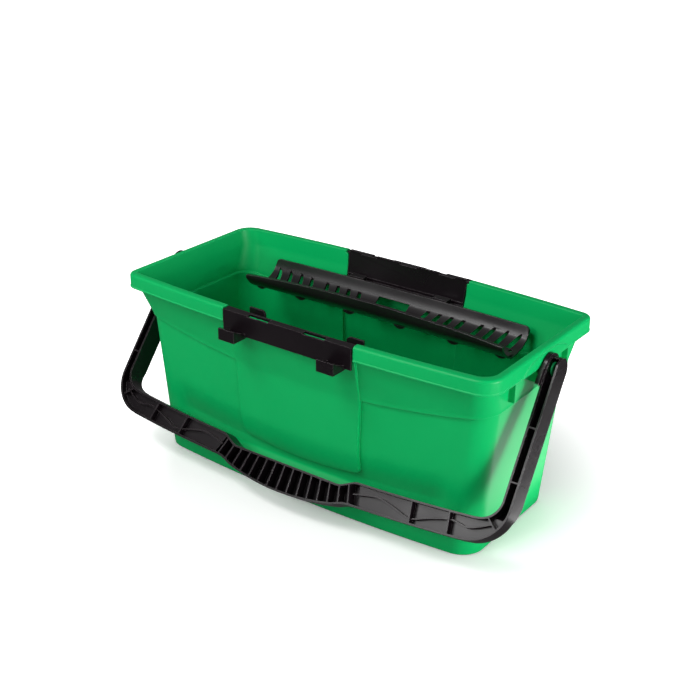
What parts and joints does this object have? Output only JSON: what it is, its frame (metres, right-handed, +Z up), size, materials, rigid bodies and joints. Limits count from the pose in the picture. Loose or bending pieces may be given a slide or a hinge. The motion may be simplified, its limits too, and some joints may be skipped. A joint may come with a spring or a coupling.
{
  "type": "cleaning bucket",
  "caption": "Long rectangular cleaning bucket with a swinging bail handle, clip-on tool holders on both long rims and a lift-out sieve.",
  "frame": {"origin": "centre of the flat underside of the base, where the bucket stands", "axes": "+X along the bucket, -Y towards the side where the handle hangs, +Z up"},
  "size_m": [0.6134, 0.3178, 0.256],
  "materials": {
    "tub_plastic": "satin moulded polypropylene",
    "handle_plastic": "moulded polypropylene with a soft gloss",
    "holder_plastic": "moulded polypropylene with a soft gloss",
    "sieve_plastic": "satin moulded polypropylene"
  },
  "bodies": {
    "tub": {"tub": "tub_plastic"},
    "handle": {"handle": "handle_plastic"},
    "front_holder": {"front_tool_holder": "holder_plastic"},
    "rear_holder": {"rear_tool_holder": "holder_plastic"},
    "sieve": {"sieve": "sieve_plastic"}
  },
  "joints": [
    {"name": "handle_swing", "type": "hinge", "parent": "tub", "child": "handle", "pos_m": [0, 0, 0.2307], "axis": [-1, 0, 0], "range_deg": [0, 287.5]},
    {"name": "front_holder_lift", "type": "slide", "parent": "tub", "child": "front_holder", "axis": [0, 0, 1], "range_m": [0, 0.06]},
    {"name": "rear_holder_lift", "type": "slide", "parent": "tub", "child": "rear_holder", "axis": [0, 0, 1], "range_m": [0, 0.06]},
    {"name": "sieve_lift", "type": "slide", "parent": "rear_holder", "child": "sieve", "axis": [0, 0, 1], "range_m": [0, 0.08]}
  ]
}
